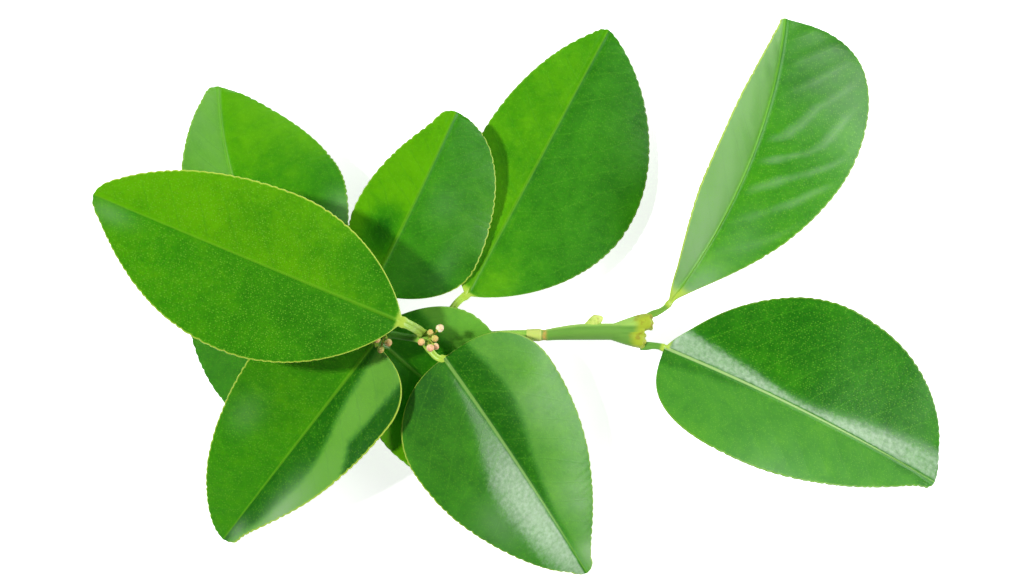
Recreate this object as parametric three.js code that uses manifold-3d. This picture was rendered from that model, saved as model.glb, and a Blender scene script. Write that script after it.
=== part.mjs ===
import * as THREE from 'three';
import { mergeVertices } from 'three/addons/utils/BufferGeometryUtils.js';
import Module from 'manifold-3d';

// A cut sprig of lemon leaves lying on a flat surface: a branched green stem, ten leaves,
// a dormant bud and two clusters of flower buds. Millimetres and degrees, +Z up.
// The stem is broken off at its +X end and its growing tip is at -X.

// Leaf section
const bladeThickness = 0.5;
const midribDepth = 0.9; // how far the midrib stands out under the blade, at its base
const petioleHalfWidth = 1;
const petioleThickness = 1.6;
const tipNarrowing = 0.6; // how much narrower the very end is than the blunt tip
const foldWidth = 6; // half-width from which a blade has its full fold
const bendShare = 0.45; // how far a petiole runs straight on from its blade
const gutterEdge = 0.8; // how softly a gutter's slope ends

// Mesh steps
const bladeRows = 16;
const petioleRows = 4;
const halfColumns = 4;
const stemSides = 12;
const budSides = 8;
const stepsPerSpan = 3;

// Each leaf. base is where the blade joins its petiole, foot is where the petiole leaves the
// stem, bend is a point that draws the petiole aside, and tipHeight is the height of the blade's
// tip. heading is the mean direction of the midrib seen from above, turn its change from base to
// tip, and arch its bend downwards.
// roll lifts the right half, twist adds to it towards the tip, fold lifts a half and curl bends
// it on towards the margin. Pairs are the left and right half, seen from above with the tip
// ahead: widest is where along the blade the half is widest, and the outline is fuller towards
// the base or the tip where baseRound or tipRound is smaller. blunt is the half-width at the tip.
// gutter is the extra slope of a strip beside the midrib, and gutterWidth the strip's width at
// even steps from base to tip.
const leaves = {
  leaf_front_left: {
    base: [-29.5, -9, 37], foot: [-24, -12.6, 28],
    tipHeight: 33, length: 90, blunt: 4.2,
    halfWidth: [25.6, 20.9], widest: [0.47, 0.42],
    baseRound: [0.78, 0.8], tipRound: [0.86, 0.68],
    heading: 157.6, turn: 0, arch: 16, roll: 0, twist: 0,
    fold: [8, 8], curl: [-10, -14],
  },
  leaf_back_small: {
    base: [-39, -1, 17], foot: [-41.8, -7.35, 14.85],
    tipHeight: 17, length: 54.9, blunt: 4,
    halfWidth: [14.7, 23.7], widest: [0.36, 0.33],
    baseRound: [0.6, 0.62], tipRound: [0.9, 0.44],
    heading: 64.4, turn: 4, arch: 16, roll: -4, twist: 0,
    fold: [-12, -9], curl: [-6, -4],
  },
  leaf_back_tall: {
    base: [-12.5, -2, 12], foot: [-19.6, -11.8, 12.6], bend: [-16.4, -3.9, 12.4],
    tipHeight: 1.8, length: 84.6, blunt: 2.4,
    halfWidth: [17.7, 31.2], widest: [0.46, 0.47],
    baseRound: [0.8, 0.78], tipRound: [0.76, 0.74],
    heading: 62, turn: 0, arch: 4, roll: -1, twist: 0,
    fold: [-4, -3], curl: [-3, -4],
  },
  leaf_end_upper: {
    base: [43.3, -4.3, 14], foot: [39.2, -7, 13.2],
    tipHeight: 0.6, length: 88.9, blunt: 2.2,
    halfWidth: [16, 28.9], widest: [0.5, 0.74],
    baseRound: [1, 1.25], tipRound: [1, 0.34],
    heading: 67.5, turn: 29, arch: 24, roll: -30, twist: -12,
    fold: [24, 30], curl: [-10, -10],
  },
  leaf_end_lower: {
    base: [42, -16.5, 13], foot: [37, -16, 12.6],
    tipHeight: 5.5, length: 84.8, blunt: 3,
    halfWidth: [31.9, 24.8], widest: [0.5, 0.3],
    baseRound: [0.85, 0.3], tipRound: [0.5, 1],
    heading: -26.5, turn: -8, arch: 12, roll: 18, twist: 0,
    fold: [15, 22], curl: [4, -6],
    gutter: [-23, 0], gutterWidth: [10, 6.5, 3.2, 7, 10],
  },
  leaf_low_middle: {
    base: [-18.5, -19, 24], foot: [-22.8, -15.8, 26], bend: [-20.4, -20, 24.3],
    tipHeight: 0.4, length: 76.5, blunt: 3,
    halfWidth: [24, 25.4], widest: [0.23, 0.3],
    baseRound: [0.34, 0.47], tipRound: [1, 0.9],
    heading: -57, turn: -5, arch: 20, roll: 0, twist: 0,
    fold: [2, -2], curl: [-24, -14],
    gutter: [0, 24], gutterWidth: [0.5, 5, 11, 10, 7],
  },
  leaf_low_left: {
    base: [-37.5, -15, 24], foot: [-34.6, -15.2, 23.6], bend: [-36, -14.7, 24.2],
    tipHeight: 0.6, length: 74.2, blunt: 3.8,
    halfWidth: [18.5, 24.6], widest: [0.19, 0.28],
    baseRound: [0.34, 0.62], tipRound: [0.95, 0.63],
    heading: 231.9, turn: 0, arch: 16, roll: 0, twist: 0,
    fold: [6, 4], curl: [30, -5],
  },
  leaf_back_left: {
    base: [-51.5, -11.5, 17.7], foot: [-45.2, -9.3, 14.8],
    tipHeight: 1.4, length: 78, blunt: 4.5,
    halfWidth: [22.2, 28.7], widest: [0.3, 0.5],
    baseRound: [1.5, 0.7], tipRound: [0.76, 0.66],
    heading: 114, turn: -42, arch: 16, roll: -20, twist: -20,
    fold: [25, 25], curl: [-5, -12],
  },
  leaf_under_left: {
    base: [-40, -14, 10.5], foot: [-34.4, -14, 11.2],
    tipHeight: 0.4, length: 51.5, blunt: 2,
    halfWidth: [26.5, 24], widest: [0.48, 0.45],
    baseRound: [0.7, 0.7], tipRound: [0.8, 0.85],
    heading: 176, turn: 0, arch: 12, roll: -4, twist: 0,
    fold: [5, 5], curl: [-3, -3],
  },
  leaf_inner: {
    base: [-38.5, -12.3, 19], foot: [-41.6, -10.5, 16.4],
    tipHeight: 3, length: 66, blunt: 2,
    halfWidth: [22.8, 20.8], widest: [0.3, 0.42],
    baseRound: [0.65, 0.65], tipRound: [1.15, 0.65],
    heading: -42, turn: 0, arch: 20, roll: 0, twist: 0,
    fold: [7, 7], curl: [-5, -5],
  },
};

// The stem's limbs, each a row of x, y, z and radius from its thick end.
const mainLimb = [
  [36.5, -12.1, 12.5, 2.2], [27.5, -12, 12.5, 2.3], [18.5, -12.1, 12.5, 2.2],
  [13, -12.5, 12.5, 1.85], [9.5, -12.9, 12.5, 1.6], [7, -12.9, 12.5, 1.75],
  [4, -12.9, 12.4, 1.45], [-2.5, -13, 12.3, 1.35], [-12, -13.6, 12.2, 1.3],
  [-20.5, -14.2, 12.2, 1.45], [-32, -12.1, 12.5, 1.25], [-40.5, -9.6, 13.5, 1.5],
  [-43.8, -8.2, 15, 1],
];
const upperFork = [[28, -11.8, 12.5, 1.95], [34.5, -10, 12.5, 2.5], [38.4, -9.3, 12.5, 2.5]];
const lowerFork = [[27, -12.2, 12.5, 1.95], [33, -13.8, 12.5, 2.4], [36.4, -14.5, 12.5, 2.4]];
const sideShoot = [
  [-42, -9, 14.2, 1.15], [-43.2, -8.5, 18, 1.15], [-40.8, -10, 23, 1.1],
  [-34.5, -12.2, 24.6, 1.15], [-28, -13.4, 25.6, 1], [-23.4, -13.8, 26.4, 1.45],
  [-22.2, -13.8, 26.6, 1],
];

// Buds. Each has its centre and radius. A cluster's stalks leave the stem around its root,
// at a distance of rootRadius.
const stalkRadius = 0.3;
const clusters = {
  front: {
    root: [-23, -13.8, 26.5], rootRadius: 1.85,
    buds: [
      [-24.5, -14.6, 29.5, 1.05], [-19.4, -10.8, 29.8, 1.15], [-22, -11.9, 30, 0.9],
      [-20.7, -13.6, 30.7, 1], [-22, -16.2, 31, 1.1], [-20.6, -15.8, 28.7, 1],
    ],
  },
  rear: {
    root: [-34.6, -12.2, 24.6], rootRadius: 1.85,
    buds: [[-36.5, -14, 28, 0.95], [-33.4, -14.8, 28.2, 1.1], [-35.5, -16.7, 27.2, 1]],
  },
};
const dormantBud = [
  [22.2, -8.4, 12.6, 1], [23.2, -8.1, 12.7, 1.3], [24.3, -7.8, 12.8, 1], [25, -7.6, 12.9, 0.4],
];

const leafGreen = new THREE.MeshStandardMaterial({ color: 0x3f8f1f, roughness: 0.35, metalness: 0 });
const stemGreen = new THREE.MeshStandardMaterial({ color: 0x74a84a, roughness: 0.5, metalness: 0 });
const budPeach = new THREE.MeshStandardMaterial({ color: 0xd8ab7c, roughness: 0.5, metalness: 0 });
const dormantYellow = new THREE.MeshStandardMaterial({ color: 0xcfe07a, roughness: 0.5, metalness: 0 });

const radians = THREE.MathUtils.degToRad;
const vector = (values) => new THREE.Vector3(values[0], values[1], values[2]);

// Directions along a leaf: forward, to its right and up from its upper face.
function frameAt(forward, roll) {
  const level = new THREE.Vector3(forward.y, -forward.x, 0).normalize();
  const square = new THREE.Vector3().crossVectors(level, forward);
  const turned = Math.cos(roll);
  const lifted = Math.sin(roll);
  return {
    right: level.clone().multiplyScalar(turned).addScaledVector(square, lifted),
    up: square.clone().multiplyScalar(turned).addScaledVector(level, -lifted),
  };
}

// The midrib's direction at a share s of its length. Its mean pitch brings the tip to its height.
function midribDirection(leaf, s) {
  const halfArch = radians(leaf.arch) / 2;
  const reach = leaf.length * Math.sin(halfArch) / halfArch;
  const pitch = Math.asin((leaf.tipHeight - leaf.base[2]) / reach) + radians(leaf.arch) * (0.5 - s);
  const heading = radians(leaf.heading + leaf.turn * (s - 0.5));
  return new THREE.Vector3(
    Math.cos(pitch) * Math.cos(heading),
    Math.cos(pitch) * Math.sin(heading),
    Math.sin(pitch),
  );
}

// One half's outline, from 0 at the ends to 1 where it is widest.
function outline(leaf, side, s) {
  const widest = leaf.widest[side];
  if (s < widest) return (1 - (1 - s / widest) ** 2) ** leaf.baseRound[side];
  return (1 - ((s - widest) / (1 - widest)) ** 2) ** leaf.tipRound[side];
}

function bladeSections(leaf) {
  const sections = [];
  const place = vector(leaf.base);
  let before = 0;
  for (let row = 0; row <= bladeRows; row += 1) {
    const s = (1 - Math.cos(Math.PI * row / bladeRows)) / 2;
    place.addScaledVector(midribDirection(leaf, (s + before) / 2), (s - before) * leaf.length);
    before = s;
    const narrowest = THREE.MathUtils.lerp(petioleHalfWidth, leaf.blunt * tipNarrowing, s ** 4);
    const widths = [0, 1].map((side) => {
      const share = Math.max(outline(leaf, side, s) || 0, 0);
      return Math.max(leaf.halfWidth[side] * share, narrowest);
    });
    sections.push({
      place: place.clone(),
      ...frameAt(midribDirection(leaf, s), radians(leaf.roll + leaf.twist * (s - 0.5))),
      s,
      widths,
      fold: leaf.fold,
      middle: bladeThickness + midribDepth * (1 - s) ** 2,
      edge: bladeThickness,
    });
  }
  return sections;
}

function petioleCurve(leaf) {
  const foot = vector(leaf.foot);
  const base = vector(leaf.base);
  const run = foot.distanceTo(base) * bendShare;
  const bend = leaf.bend
    ? vector(leaf.bend)
    : base.clone().addScaledVector(midribDirection(leaf, 0), -run);
  return new THREE.QuadraticBezierCurve3(foot, bend, base);
}

function petioleSections(leaf) {
  const curve = petioleCurve(leaf);
  const sections = [];
  for (let row = 0; row < petioleRows; row += 1) {
    const t = row / petioleRows;
    sections.push({
      place: curve.getPoint(t),
      ...frameAt(curve.getTangent(t), radians(leaf.roll - leaf.twist / 2) * t),
      s: 0,
      widths: [petioleHalfWidth, petioleHalfWidth],
      fold: [0, 0],
      middle: petioleThickness,
      edge: bladeThickness,
    });
  }
  return sections;
}

// The height and slope that a leaf's gutter gives to a point at a distance from the midrib.
function gutterAt(leaf, half, s, distance) {
  if (!leaf.gutter) return { rise: 0, slope: 0 };
  const slope = radians(leaf.gutter[half]);
  const widths = leaf.gutterWidth.map((width) => new THREE.Vector3(width, 0, 0));
  const width = new THREE.CatmullRomCurve3(widths, false, 'catmullrom').getPoint(s).x;
  const beyond = distance - width;
  const reach = Math.hypot(beyond, gutterEdge);
  return {
    rise: Math.tan(slope) * (distance - (beyond + reach) / 2),
    slope: slope * (1 - beyond / reach) / 2,
  };
}

// Upper and lower points across one section, from the left margin to the right.
function sectionPoints(section, leaf) {
  const upper = [];
  const lower = [];
  for (let column = -halfColumns; column <= halfColumns; column += 1) {
    const side = Math.sign(column);
    const share = Math.abs(column) / halfColumns;
    const half = column < 0 ? 0 : 1;
    const width = section.widths[half];
    const ease = Math.min(1, width / foldWidth);
    const fold = radians(section.fold[half]) * ease;
    const bend = radians(leaf.curl[half]) * ease;
    const gutter = gutterAt(leaf, half, section.s, width * share);
    const tilt = fold + bend * share + gutter.slope * ease;
    const chord = fold + bend * share / 2;
    const point = section.place.clone()
      .addScaledVector(section.right, side * width * share * Math.cos(chord))
      .addScaledVector(section.up, width * share * Math.sin(chord) + gutter.rise * ease);
    const outward = section.up.clone().multiplyScalar(Math.cos(side * tilt))
      .addScaledVector(section.right, -Math.sin(side * tilt));
    const thickness = share === 0 ? section.middle : section.edge;
    upper.push(point.clone().addScaledVector(outward, section.edge / 2));
    lower.push(point.clone().addScaledVector(outward, section.edge / 2 - thickness));
  }
  return { upper, lower };
}

function quad(index, a, b, c, d) {
  index.push(a, b, c, a, c, d);
}

// A closed sheet between an upper and a lower grid of points.
function sheetGeometry(rows) {
  const columns = rows[0].upper.length;
  const lowerStart = rows.length * columns;
  const places = [...rows.flatMap((row) => row.upper), ...rows.flatMap((row) => row.lower)];
  const index = [];
  for (let row = 0; row < rows.length - 1; row += 1) {
    for (let column = 0; column < columns - 1; column += 1) {
      const a = row * columns + column;
      const d = a + columns;
      quad(index, a, a + 1, d + 1, d);
      quad(index, lowerStart + a, lowerStart + d, lowerStart + d + 1, lowerStart + a + 1);
    }
    const left = row * columns;
    const right = left + columns - 1;
    quad(index, left, left + columns, lowerStart + left + columns, lowerStart + left);
    quad(index, right, lowerStart + right, lowerStart + right + columns, right + columns);
  }
  const last = lowerStart - columns;
  for (let column = 0; column < columns - 1; column += 1) {
    quad(index, column, lowerStart + column, lowerStart + column + 1, column + 1);
    const end = last + column;
    quad(index, end, end + 1, lowerStart + end + 1, lowerStart + end);
  }
  const geometry = new THREE.BufferGeometry().setFromPoints(places);
  geometry.setIndex(index);
  geometry.computeVertexNormals();
  return geometry;
}

function leafGeometry(leaf) {
  const sections = [...petioleSections(leaf), ...bladeSections(leaf)];
  return sheetGeometry(sections.map((section) => sectionPoints(section, leaf)));
}

// A round limb through points that each have a radius, with flat ends.
function limbGeometry(points, sides) {
  const route = new THREE.CatmullRomCurve3(points.map(vector));
  const girth = new THREE.CatmullRomCurve3(points.map((point) => new THREE.Vector3(point[3], 0, 0)));
  const rings = (points.length - 1) * stepsPerSpan;
  const places = [];
  const across = new THREE.Vector3(0, 0, 1);
  for (let ring = 0; ring <= rings; ring += 1) {
    const t = ring / rings;
    const along = route.getTangent(t);
    across.addScaledVector(along, -across.dot(along)).normalize();
    const other = new THREE.Vector3().crossVectors(along, across);
    const radius = girth.getPoint(t).x;
    for (let side = 0; side < sides; side += 1) {
      const angle = 2 * Math.PI * side / sides;
      places.push(route.getPoint(t)
        .addScaledVector(across, radius * Math.cos(angle))
        .addScaledVector(other, radius * Math.sin(angle)));
    }
  }
  const first = places.length;
  const last = first + 1;
  places.push(route.getPoint(0), route.getPoint(1));
  const index = [];
  for (let side = 0; side < sides; side += 1) {
    const next = (side + 1) % sides;
    for (let ring = 0; ring < rings; ring += 1) {
      const here = ring * sides;
      quad(index, here + side, here + next, here + sides + next, here + sides + side);
    }
    const end = rings * sides;
    index.push(first, next, side, last, end + side, end + next);
  }
  const geometry = new THREE.BufferGeometry().setFromPoints(places);
  geometry.setIndex(index);
  geometry.computeVertexNormals();
  return geometry;
}

const wasm = await Module();
wasm.setup();

function solidOf(geometry) {
  const bare = geometry.clone();
  bare.deleteAttribute('normal');
  const merged = mergeVertices(bare);
  return new wasm.Manifold(new wasm.Mesh({
    numProp: 3,
    vertProperties: merged.attributes.position.array,
    triVerts: new Uint32Array(merged.index.array),
  }));
}

function joined(geometries) {
  const [first, ...others] = geometries.map(solidOf);
  const whole = others.reduce((sum, solid) => sum.add(solid), first).getMesh();
  const geometry = new THREE.BufferGeometry();
  geometry.setAttribute('position', new THREE.BufferAttribute(whole.vertProperties, 3));
  geometry.setIndex(new THREE.BufferAttribute(whole.triVerts, 1));
  geometry.computeVertexNormals();
  return geometry;
}

// A flower bud on its stalk: a slender limb that swells into the bud and closes at its top.
function flowerBudGeometry(cluster, bud) {
  const root = vector(cluster.root);
  const centre = vector(bud);
  const radius = bud[3];
  const along = centre.clone().sub(root).normalize();
  const foot = root.addScaledVector(along, cluster.rootRadius);
  const stations = [[-0.95, 0.35], [-0.6, 0.85], [0, 1], [0.6, 0.8], [0.95, 0.25]];
  const points = stations.map(([offset, share]) => {
    const place = centre.clone().addScaledVector(along, offset * radius);
    return [...place.toArray(), share * radius];
  });
  return limbGeometry([[...foot.toArray(), stalkRadius], ...points], budSides);
}

function piece(name, geometry, material) {
  const mesh = new THREE.Mesh(geometry, material);
  mesh.name = name;
  return mesh;
}

const sprig = new THREE.Group();
sprig.add(piece('stem', joined([mainLimb, upperFork, lowerFork, sideShoot]
  .map((points) => limbGeometry(points, stemSides))), stemGreen));
sprig.add(piece('dormant_bud', limbGeometry(dormantBud, budSides), dormantYellow));
for (const [name, leaf] of Object.entries(leaves)) {
  sprig.add(piece(name, leafGeometry(leaf), leafGreen));
}
for (const [name, cluster] of Object.entries(clusters)) {
  cluster.buds.forEach((bud, number) => {
    sprig.add(piece(`flower_bud_${name}_${number + 1}`, flowerBudGeometry(cluster, bud), budPeach));
  });
}

// The origin is the centre of the whole sprig's footprint, on the surface that it lies on.
const bounds = new THREE.Box3().setFromObject(sprig, true);
const middle = bounds.getCenter(new THREE.Vector3());
sprig.position.set(-middle.x, -middle.y, -bounds.min.z);

const part = new THREE.Group();
part.add(sprig);
export default part;
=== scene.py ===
import math
import random
from types import SimpleNamespace

import bpy
import numpy as np
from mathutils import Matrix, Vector


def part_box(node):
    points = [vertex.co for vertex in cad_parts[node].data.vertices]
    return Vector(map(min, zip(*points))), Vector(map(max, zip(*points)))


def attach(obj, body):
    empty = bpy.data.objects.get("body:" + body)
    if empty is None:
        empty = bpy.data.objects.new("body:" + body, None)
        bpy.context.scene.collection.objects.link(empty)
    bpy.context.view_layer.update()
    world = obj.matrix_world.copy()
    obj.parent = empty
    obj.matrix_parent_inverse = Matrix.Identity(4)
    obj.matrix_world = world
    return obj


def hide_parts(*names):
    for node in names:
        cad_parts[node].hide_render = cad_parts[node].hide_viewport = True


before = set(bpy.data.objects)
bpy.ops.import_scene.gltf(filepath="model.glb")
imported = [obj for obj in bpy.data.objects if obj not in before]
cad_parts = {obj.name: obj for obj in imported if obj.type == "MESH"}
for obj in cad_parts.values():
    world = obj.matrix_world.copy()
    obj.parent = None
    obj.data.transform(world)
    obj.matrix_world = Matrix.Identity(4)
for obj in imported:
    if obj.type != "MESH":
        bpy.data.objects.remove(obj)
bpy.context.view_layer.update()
print("frame loaded with", len(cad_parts), "nodes")

millimetre = 0.001
scene = bpy.context.scene


# Each leaf. Millimetres and degrees, and a pair is the left and right half with the tip ahead.
# base is where the blade joins its petiole, foot where the petiole leaves the stem, bend a point
# that draws the petiole aside and tipHeight the height of the blade's tip. blunt is the half-width
# at the tip, widest the share of the length where a half is widest, and its outline is fuller
# towards the base or the tip where baseRound or tipRound is smaller. heading is the mean direction
# of the midrib seen from above, turn its change from base to tip and arch its bend downwards. roll
# lifts the right half, twist adds to it towards the tip, fold lifts a half and curl bends it on
# towards the margin. A gutter is a strip beside the midrib with a slope of its own, gutterWidth
# its width at even steps from base to tip, sheen how strongly a sheen is painted there as a pale
# colour and sheenEdge how far that reaches inside and outside the strip. petiole is its half-width,
# fresh how young its green is and quilt how far the blade swells between its veins.
# rim is how bright a half's margin is, pale how pale the midrib, dots how plain the oil glands and
# streaks how strongly a sheen is painted as pale bands along the lateral veins. tone is how light a
# half's green is, partly its own green and partly painted light and shade, paling what that gains
# from base to tip and overlay how strongly a sheen is painted as a pale haze over the half. strips
# are painted shadows beside the midrib: their tone, their width at even steps from base to tip and
# until, the distance where a painted shadow darkens the half again out to the margin, at shares of
# the length. haze add painted sheen to overlay and dim paints shade, taking from tone, in
# small places: half, share of the length, distance from the midrib, reach along, reach across and
# strength, which does the opposite where it is negative.
leaves = {
    "leaf_front_left": dict(
        base=(-29.5, -9, 37), foot=(-24, -12.6, 28), tipHeight=33, length=90, blunt=4.2,
        halfWidth=(25.6, 20.9), widest=(0.47, 0.42), baseRound=(0.78, 0.8), tipRound=(0.86, 0.68),
        heading=157.6, turn=0, arch=16, roll=0, twist=0, fold=(8, 8), curl=(-10, -14),
        petiole=1.3, fresh=0.7, quilt=0.05, rim=(1, 1.15), pale=0, dots=0.8,
        tone=(0.45, 1.05), paling=0.6, overlay=(0, 0),
        haze=[(0, 0.93, 3, 6, 2.5, 0.5)], dim=[(1, 0.12, 10, 14, 9, 0.5)],
    ),
    "leaf_back_small": dict(
        base=(-39, -1, 17), foot=(-41.8, -7.35, 14.85), tipHeight=17, length=54.9, blunt=4,
        halfWidth=(14.7, 23.7), widest=(0.36, 0.33), baseRound=(0.6, 0.62), tipRound=(0.9, 0.44),
        heading=64.4, turn=4, arch=16, roll=-4, twist=0, fold=(-12, -9), curl=(-6, -4),
        petiole=1, quilt=0.04, rim=(0.5, 1.1), pale=0, dots=0.35,
        tone=(1.25, 0.35), overlay=(0, 0), haze=[(1, 0.55, 8, 5, 4, 0.2), (1, 0.3, 16, 7, 3, 0.2)],
        dim=[(0, 0.3, 4.5, 6, 4.5, 1.9), (1, 0.2, 12, 9, 8, 0.4)],
    ),
    "leaf_back_tall": dict(
        base=(-12.5, -2, 12), foot=(-19.6, -11.8, 12.6), bend=(-16.4, -3.9, 12.4),
        tipHeight=1.8, length=84.6, blunt=2.4,
        halfWidth=(17.7, 31.2), widest=(0.46, 0.47), baseRound=(0.8, 0.78), tipRound=(0.76, 0.74),
        heading=62.0, turn=0, arch=4, roll=-1, twist=0, fold=(-4, -3), curl=(-3, -4),
        petiole=1, fresh=1, quilt=0.03, rim=(0.3, 0.3), pale=0, dots=0.35,
        tone=(0.9, 0.15), paling=-0.1, overlay=(0, 0), dim=[(1, 0.08, 5, 10, 7, -0.9)],
    ),
    "leaf_end_upper": dict(
        base=(43.3, -4.3, 14), foot=(39.2, -7, 13.2), tipHeight=0.6, length=88.9, blunt=2.2,
        halfWidth=(16, 28.9), widest=(0.5, 0.74), baseRound=(1, 1.25), tipRound=(1, 0.34),
        heading=67.5, turn=29, arch=24, roll=-30, twist=-12, fold=(24, 30), curl=(-10, -10),
        petiole=0.75, fresh=0.2, quilt=0.07, rim=(1, 0.5), pale=0, dots=0.6, streaks=(0, 1),
        tone=(1.35, 0.5), paling=-0.5, overlay=(1.05, 0),
        haze=[(1, 0.06, 5, 9, 5, 1.6), (0, 0.2, 5, 18, 8, 0.4), (0, 0.65, 6, 20, 10, -0.25),
              (1, 0.28, 8, 9, 6, 0.35)],
        dim=[(1, 0.28, 8, 9, 6, 0.2), (1, 0.85, 12, 12, 9, 0.3)],
    ),
    "leaf_end_lower": dict(
        base=(42, -16.5, 13), foot=(37, -16, 12.6), tipHeight=5.5, length=84.8, blunt=3,
        halfWidth=(31.9, 24.8), widest=(0.5, 0.3), baseRound=(0.85, 0.3), tipRound=(0.5, 1),
        heading=-26.5, turn=-8, arch=12, roll=18, twist=0, fold=(15, 22), curl=(4, -6),
        petiole=0.9, quilt=0.03, rim=(0.3, 0.3), pale=1, dots=0.6,
        gutter=(-23, 0), gutterWidth=(10, 6.5, 3.2, 7, 10), sheen=(0.9, 0.85, 1, 0.9, 0.6),
        sheenEdge=(3.5, 0.8), tone=(-0.1, 0.5), overlay=(0, 0.1),
        strips={1: dict(tone=0.05, width=(6, 2.5, -1, 1, 3.5))},
    ),
    "leaf_low_middle": dict(
        base=(-18.5, -19, 24), foot=(-22.8, -15.8, 26), bend=(-20.4, -20, 24.3),
        tipHeight=0.4, length=76.5, blunt=3,
        halfWidth=(24, 25.4), widest=(0.23, 0.3), baseRound=(0.34, 0.47), tipRound=(1, 0.9),
        heading=-57.0, turn=-5, arch=20, roll=0, twist=0, fold=(2, -2), curl=(-24, -14),
        petiole=0.9, fresh=1, quilt=0.03, rim=(0.6, 1), pale=0.4, dots=0.4,
        gutter=(0, 24), gutterWidth=(0.5, 5, 11, 10, 7), sheen=(0, 0.15, 0.75, 1, 0.9),
        sheenEdge=(7, 4), tone=(0.8, 0.2), overlay=(0.28, 0.1),
        strips={0: dict(tone=-0.2, width=(7.5, 9.5, 4.5, 1, 0))},
        haze=[(0, 0.33, 13, 8, 4, 0.35), (0, 0.72, 8, 8, 5, 0.5), (0, 0.94, 4, 5, 4, 1.2),
              (1, 0.62, 13, 8, 5, 0.5), (0, 0.22, 17, 6, 5, -0.25)],
        dim=[(1, 0.04, 9, 8, 7, 0.8)],
    ),
    "leaf_low_left": dict(
        base=(-37.5, -15, 24), foot=(-34.6, -15.2, 23.6), bend=(-36, -14.7, 24.2),
        tipHeight=0.6, length=74.2, blunt=3.8,
        halfWidth=(18.5, 24.6), widest=(0.19, 0.28), baseRound=(0.34, 0.62), tipRound=(0.95, 0.63),
        heading=231.9, turn=0, arch=16, roll=0, twist=0, fold=(6, 4), curl=(30, -5),
        petiole=1, quilt=0.03, rim=(1, 1), pale=0, dots=0.6, tone=(1.35, 0.55), overlay=(0.4, 0),
        strips={0: dict(tone=-0.25, width=(2, 4, 7.8, 6.5, 1.5),
                        until=[(0.08, 13.3), (0.34, 11.8), (0.52, 19)])},
        haze=[(1, 0.52, 16, 6, 4, 0.3), (0, 0.78, 9, 11, 3.5, 1.5), (0, 0.93, 2, 4, 2, 1),
              (0, 0.62, 10.5, 8, 5, 0.4)],
        dim=[(0, 0.62, 10.5, 8, 5, -0.4)],
    ),
    "leaf_back_left": dict(
        base=(-51.5, -11.5, 17.7), foot=(-45.2, -9.3, 14.8), tipHeight=1.4, length=78.0, blunt=4.5,
        halfWidth=(22.2, 28.7), widest=(0.3, 0.5), baseRound=(1.5, 0.7), tipRound=(0.76, 0.66),
        heading=114, turn=-42, arch=16, roll=-20, twist=-20, fold=(25, 25), curl=(-5, -12),
        petiole=1, quilt=0.04, rim=(0.3, 0.3), pale=0.3, dots=0.4,
        tone=(0.95, 0.7), paling=1.0, overlay=(0.05, 0), haze=[(1, 0.33, 25, 7, 4, 0.8)],
        dim=[(1, 0.5, 24, 8, 6, 0.5)],
    ),
    "leaf_under_left": dict(
        base=(-40, -14, 10.5), foot=(-34.4, -14, 11.2), tipHeight=0.4, length=51.5, blunt=2,
        halfWidth=(26.5, 24), widest=(0.48, 0.45), baseRound=(0.7, 0.7), tipRound=(0.8, 0.85),
        heading=176, turn=0, arch=12, roll=-4, twist=0, fold=(5, 5), curl=(-3, -3),
        petiole=1, quilt=0.06, rim=(0.2, 0.2), pale=0.2, dots=0.4,
        tone=(0.35, 0.35), overlay=(0.12, 0.12),
    ),
    "leaf_inner": dict(
        base=(-38.5, -12.3, 19), foot=(-41.6, -10.5, 16.4), tipHeight=3, length=66, blunt=2,
        halfWidth=(22.8, 20.8), widest=(0.3, 0.42), baseRound=(0.65, 0.65), tipRound=(1.15, 0.65),
        heading=-42, turn=0, arch=20, roll=0, twist=0, fold=(7, 7), curl=(-5, -5),
        petiole=1, quilt=0.08, rim=(0.2, 0.2), pale=0.2, dots=0.4,
        tone=(1.2, 2), overlay=(0.3, 0),
        strips={0: dict(tone=-0.2, width=(14, 12, 8, 5, 5)),
                1: dict(tone=0.1, width=(12, 13, 13, 13, 13))},
    ),
}


# What every leaf shares, in millimetres, shares of the length and shares of a half-width.
leafBuild = dict(
    pathSteps=1200, bladeRows=230, petioleRows=26, rootRows=5, halfColumns=16,
    rimSteps=(0.75, 0.45, 0.2, 0.06), rimFrom=3, spacing=1.6, lastGap=0.6,
    thickness=0.42, rimRadius=0.28, foldWidth=6, crease=0.7,
    keelDepth=0.75, keelHalf=0.75, keelTip=(0.12, 0.32), keelTaper=1.6,
    ribHeight=0.16, ribHalf=0.42, ribTaper=0.6, furrow=(0.07, 0.95, 0.4),
    petioleTop=0.3, petioleDrop=1.15, groove=(0.25, 0.4), rootReach=1.8, bendShare=0.45,
    jointAt=-0.4, jointReach=0.75, pulvinusReach=1.4, thicker=(0.25, 0.3), wider=(0.22, 0.3),
    bladeFrom=(1.4, 5), capReach=0.9, tipFrom=0.6, leastHalf=0.02,
    toothGap=(1.5, 3.2), toothDepth=(0.18, 0.46), toothRound=0.6, teethFrom=(0.1, 0.3),
    veins=10, veinLean=0.62, veinCurve=0.011, veinWander=0.3, quiltFrom=(0.05, 0.25),
    quiltTo=(0.75, 0.97), waveHeight=0.35, waves=(1.6, 3.1), secondWave=0.6, waveEnd=0.15,
    restHeight=0.03, restThickness=0.25, gutterEdge=0.8,
)


def unit(vectors):
    return vectors / np.linalg.norm(vectors, axis=-1, keepdims=True)


def smooth(low, high, values):
    share = np.clip((values - low) / (high - low), 0, 1)
    return share * share * (3 - 2 * share)


def bell(offset, reach):
    return np.exp(-(offset / reach) ** 2)


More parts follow.
